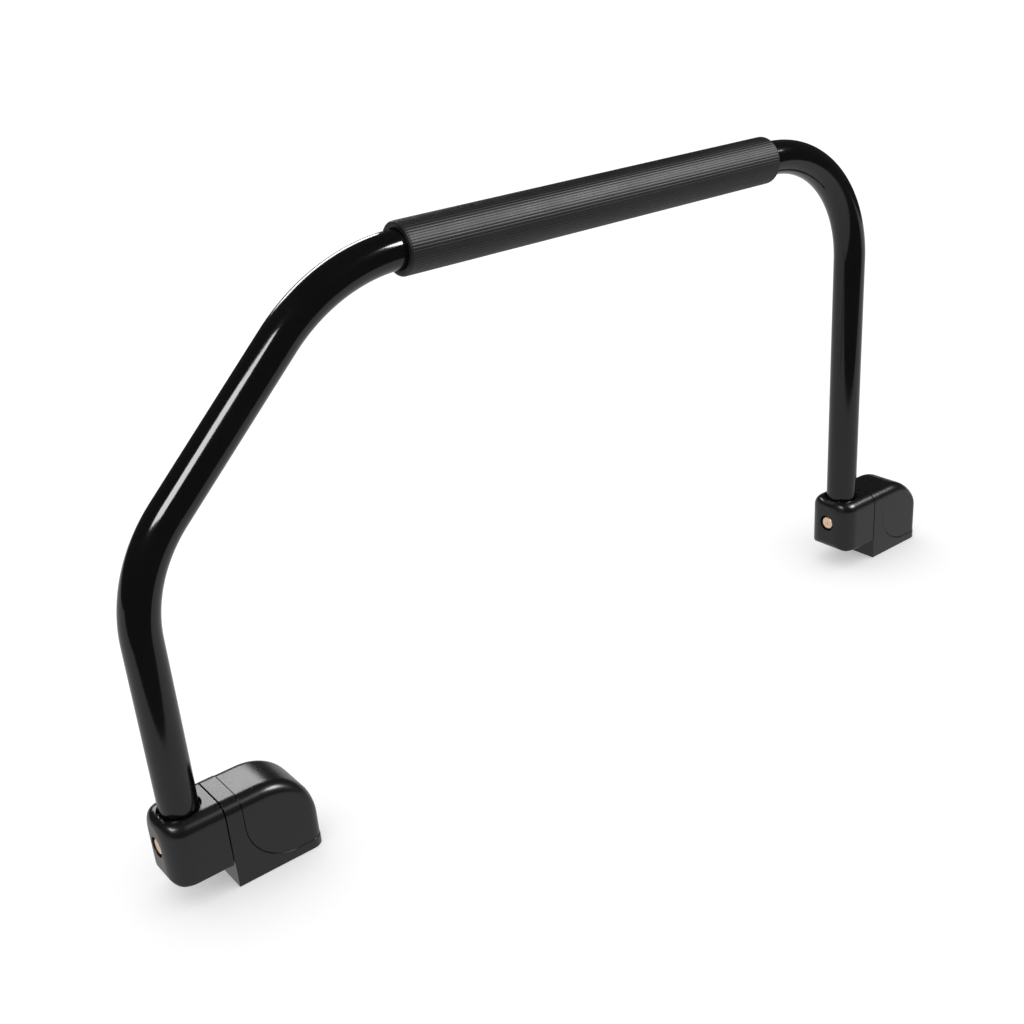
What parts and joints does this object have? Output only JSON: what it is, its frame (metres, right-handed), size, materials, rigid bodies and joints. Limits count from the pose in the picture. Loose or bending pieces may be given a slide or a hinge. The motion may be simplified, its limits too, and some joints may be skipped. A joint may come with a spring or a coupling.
{
  "type": "folding assist rail",
  "caption": "Bent tube rail with a ribbed foam grip, carried on two pivoting mounts; it lifts off its bases and swings down flat to either side.",
  "frame": {"origin": "on the plane of the two mounting faces, midway along the overall length and midway across the mounts", "axes": "+X along the pivot axis from the left mount to the right mount; +Y to the rear; +Z out of the mounting plane, along the upright rail's legs"},
  "size_m": [0.8444, 0.0484, 0.4415],
  "materials": {
    "tube_black": "gloss black powder coat",
    "grip_foam": "matte ribbed foam",
    "mount_black": "satin moulded nylon",
    "pin_brass": "satin, warm copper tone",
    "plated_steel": "zinc plated",
    "bearing_nylon": "natural nylon",
    "black_screw": "black oxide"
  },
  "bodies": {
    "brackets": {"left_base": "mount_black", "left_cap": "mount_black", "left_pivot_pin": "pin_brass", "left_pin_nut": "plated_steel", "left_pin_washer": "plated_steel", "left_thrust_washer": "bearing_nylon", "left_spring": "plated_steel", "right_base": "mount_black", "right_cap": "mount_black", "right_pivot_pin": "pin_brass", "right_pin_nut": "plated_steel", "right_pin_washer": "plated_steel", "right_thrust_washer": "bearing_nylon", "right_spring": "plated_steel"},
    "lift_seats": {"left_spring_seat": "plated_steel", "right_spring_seat": "plated_steel"},
    "rail": {"rail_tube": "tube_black", "grip_sleeve": "grip_foam", "left_housing": "mount_black", "left_pivot_bush": "bearing_nylon", "left_set_screw": "black_screw", "right_housing": "mount_black", "right_pivot_bush": "bearing_nylon", "right_set_screw": "black_screw"}
  },
  "joints": [
    {"name": "rail_lift", "type": "slide", "parent": "brackets", "child": "lift_seats", "axis": [-1, 0, 0], "range_m": [0, 0.01], "stiffness_N_per_m": 2400, "springref_m": -0.004, "deforming": ["left_spring", "right_spring"]},
    {"name": "rail_swing", "type": "hinge", "parent": "lift_seats", "child": "rail", "pos_m": [-0.4007, 0, 0.0469], "axis": [1, 0, 0], "range_deg": [-90, 90]}
  ]
}
